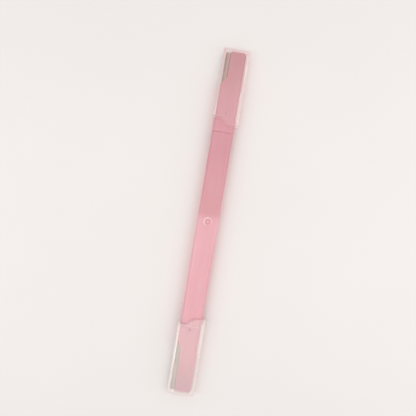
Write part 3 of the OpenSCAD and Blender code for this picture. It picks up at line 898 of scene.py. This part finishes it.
# %% [markdown]
# # Each piece takes its finish
# The pieces came in with plain colours. A finish goes into a piece's material slots, which leaves its
# mesh alone. A blade's cover takes the pink of the head that it is staked to. One table of pieces and
# finishes is easier to check than a line of code for each piece.

# %% Give each piece its finish
FINISHES = {
    "handle": handle_pink,
    "short_blade_head": short_head_pink,
    "short_blade_cover": short_head_pink,
    "long_blade_head": long_head_pink,
    "long_blade_cover": long_head_pink,
    "short_blade": short_steel,
    "long_blade": long_steel,
    "short_blade_cap": short_clear,
    "long_blade_cap": long_clear,
}
for name, finish in FINISHES.items():
    for material_slot in nodes[name].material_slots:
        material_slot.material = finish
    print(name, "is finished in", finish.name)

# %% [markdown]
# # Softened edges
# No moulded edge is perfectly sharp, and a sharp one catches no light. The edges could be rounded in
# the mesh itself, but modifiers leave the frame's mesh untouched: they weld its faces together, take
# out the lines inside flat faces and then round what is left. A small node tree picks the edges to
# round: those that stand out and are longer than a given length. Where a curve is made of short
# steps, rounding each step would fold the mesh over itself, and smooth shading does the job there.

# %% Edges to round
STANDS_OUT = math.radians(26)


def picked_edges_nodes():
    """Geometry nodes that shade a piece smooth and pick its long outer edges for the rounding."""
    tree = bpy.data.node_groups.new("picked_edges", "GeometryNodeTree")
    tree.interface.new_socket("Geometry", in_out="INPUT", socket_type="NodeSocketGeometry")
    tree.interface.new_socket("Least Edge mm", in_out="INPUT", socket_type="NodeSocketFloat")
    tree.interface.new_socket("Geometry", in_out="OUTPUT", socket_type="NodeSocketGeometry")
    given = tree.nodes.new("NodeGroupInput")
    out = tree.nodes.new("NodeGroupOutput")
    smooth = place(tree, "GeometryNodeSetShadeSmooth", {"Geometry": given.outputs["Geometry"]})
    ends = place(tree, "GeometryNodeInputMeshEdgeVertices")
    both = {0: ends.outputs["Position 1"], 1: ends.outputs["Position 2"]}
    span = place(tree, "ShaderNodeVectorMath", both, operation="DISTANCE").outputs["Value"]
    least = math_node(tree, "MULTIPLY", given.outputs["Least Edge mm"], MM)
    is_long = math_node(tree, "GREATER_THAN", span, least)
    angle = place(tree, "GeometryNodeInputMeshEdgeAngle").outputs["Signed Angle"]
    stands_out = math_node(tree, "GREATER_THAN", angle, STANDS_OUT)
    stored = {"Geometry": smooth.outputs["Geometry"], "Name": "bevel_weight_edge"}
    store = place(tree, "GeometryNodeStoreNamedAttribute", stored, data_type="FLOAT", domain="EDGE")
    tree.links.new(math_node(tree, "MULTIPLY", is_long, stands_out), store.inputs["Value"])
    tree.links.new(store.outputs["Geometry"], out.inputs["Geometry"])
    return tree


picked_edges = picked_edges_nodes()
print("edges are rounded that turn by more than", round(math.degrees(STANDS_OUT)), "degrees")

# %% Edge softening
WELD_DISTANCE = 0.002 * MM
FLAT_WITHIN = math.radians(0.5)
ROUNDING_STEPS = 3
LARGE_FACE_WEIGHT = 50


def soften(name, width, least_edge):
    """Rounds by width the outer edges that are longer than least_edge, both in millimetres."""
    piece = nodes[name]
    weld = piece.modifiers.new("weld", "WELD")
    weld.merge_threshold = WELD_DISTANCE
    flats = piece.modifiers.new("flats", "DECIMATE")
    flats.decimate_type = "DISSOLVE"
    flats.angle_limit = FLAT_WITHIN
    picked = piece.modifiers.new("picked", "NODES")
    picked.node_group = picked_edges
    labels = {item.name: item.identifier for item in picked_edges.interface.items_tree}
    picked[labels["Least Edge mm"]] = least_edge
    rounding = piece.modifiers.new("rounding", "BEVEL")
    rounding.limit_method = "WEIGHT"
    rounding.width = width * MM
    rounding.segments = ROUNDING_STEPS
    rounding.use_clamp_overlap = False
    normals = piece.modifiers.new("normals", "WEIGHTED_NORMAL")
    normals.weight = LARGE_FACE_WEIGHT


SOFTENED = {
    "handle": (0.30, 1.5),
    "short_blade_head": (0.20, 0.6),
    "long_blade_head": (0.20, 1.5),
    "short_blade_cover": (0.15, 0.6),
    "long_blade_cover": (0.15, 1.5),
    "short_blade_cap": (0.15, 0.6),
    "long_blade_cap": (0.15, 0.6),
}
for name, (width, least_edge) in SOFTENED.items():
    soften(name, width, least_edge)
depsgraph = bpy.context.evaluated_depsgraph_get()
for name in SOFTENED:
    before = len(nodes[name].data.polygons)
    after = len(nodes[name].evaluated_get(depsgraph).data.polygons)
    print(name, "has", before, "faces as it came and", after, "softened")

# %% [markdown]
# # Parting lines
# The two halves of a mould never meet perfectly, and the plastic keeps their line as a fine raised
# thread round its widest outline. It could be painted on as a bump, but seen from the side it is real
# relief, so each thread is a three-sided sliver of mesh along the middle of a side. Its height swings
# a little, as worn moulds make it do. It rides with the razor and takes the piece's own finish.

# %% Parting-line threads
THREAD_HALF_WIDTH = 0.05 * MM
THREAD_HEIGHT = 0.035 * MM
THREAD_SINK = 0.01 * MM
THREAD_STEP = 1.0 * MM
THREAD_LEVEL = 0.85
THREAD_SWING = 0.15
SWING_PER_STEP = 1.7
SIDE_MIDDLE = (short_cap_low.z + short_cap_high.z) / 2


def parting_thread(name, wall_x, outward, y_span, finish, slot_name):
    """A thread along Y on the side wall at wall_x, standing out in the direction of outward."""
    form = bmesh.new()
    count = max(2, round((y_span[1] - y_span[0]) / THREAD_STEP))
    foot_x = wall_x - outward * THREAD_SINK
    rings = []
    for step in range(count + 1):
        y = y_span[0] + (y_span[1] - y_span[0]) * step / count
        height = THREAD_HEIGHT * (THREAD_LEVEL + THREAD_SWING * math.sin(step * SWING_PER_STEP))
        if step in (0, count):
            height = THREAD_SINK
        corners = (
            (foot_x, y, SIDE_MIDDLE - THREAD_HALF_WIDTH),
            (wall_x + outward * height, y, SIDE_MIDDLE),
            (foot_x, y, SIDE_MIDDLE + THREAD_HALF_WIDTH),
        )
        rings.append([form.verts.new(corner) for corner in corners])
    for one, two in zip(rings, rings[1:]):
        for here in range(len(one)):
            after = (here + 1) % len(one)
            form.faces.new((one[here], one[after], two[after], two[here]))
    form.faces.new(rings[0])
    form.faces.new(reversed(rings[-1]))
    bmesh.ops.recalc_face_normals(form, faces=form.faces)
    thread = new_piece(name, form, finish)
    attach(thread, "razor")
    print(name, "is", round((y_span[1] - y_span[0]) / MM, 1), "mm long")


thread_measures = [round(length / MM, 3) for length in (SIDE_MIDDLE, THREAD_HEIGHT)]
print("how high up a thread lies and how far it stands out, mm:", thread_measures)

# %% [markdown]
# # Where the threads run
# A thread runs along both sides of the handle and of each head. It stops short of the seams between
# the pieces, and before the bends of a head's outline, where a straight sliver would leave the wall.
# One thread that followed every bend would be truer, but it stands out by so little that its end
# there isn't missed.

# %% Place the threads
END_ROOM = 0.1 * MM
SEAM_ROOM = 0.3 * MM
BEND_ROOM = 1.6 * MM
SHORT_SHOULDER = 62.5 * MM
LONG_SHOULDER = 55.2 * MM
head_tip = -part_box("long_blade_head")[0].y
THREADS = {
    "handle": (handle_low.y + END_ROOM, handle_high.y - END_ROOM, handle_high.y - END_ROOM),
    "short_neck": (handle_high.y + SEAM_ROOM, SHORT_SHOULDER - BEND_ROOM, head_tip - BEND_ROOM),
    "long_neck": (handle_low.y - SEAM_ROOM, BEND_ROOM - LONG_SHOULDER, BEND_ROOM - head_tip),
}
THREAD_FINISHES = {
    "handle": (handle_pink, "handle_plastic"),
    "short_neck": (short_head_pink, "head_plastic"),
    "long_neck": (long_head_pink, "head_plastic"),
}
for name, (start, blade_side_end, spine_side_end) in THREADS.items():
    blade_span = sorted((start, blade_side_end))
    spine_span = sorted((start, spine_side_end))
    parting_thread(f"{name}_blade_side_thread", handle_low.x, -1, blade_span, *THREAD_FINISHES[name])
    parting_thread(f"{name}_spine_side_thread", handle_high.x, 1, spine_span, *THREAD_FINISHES[name])
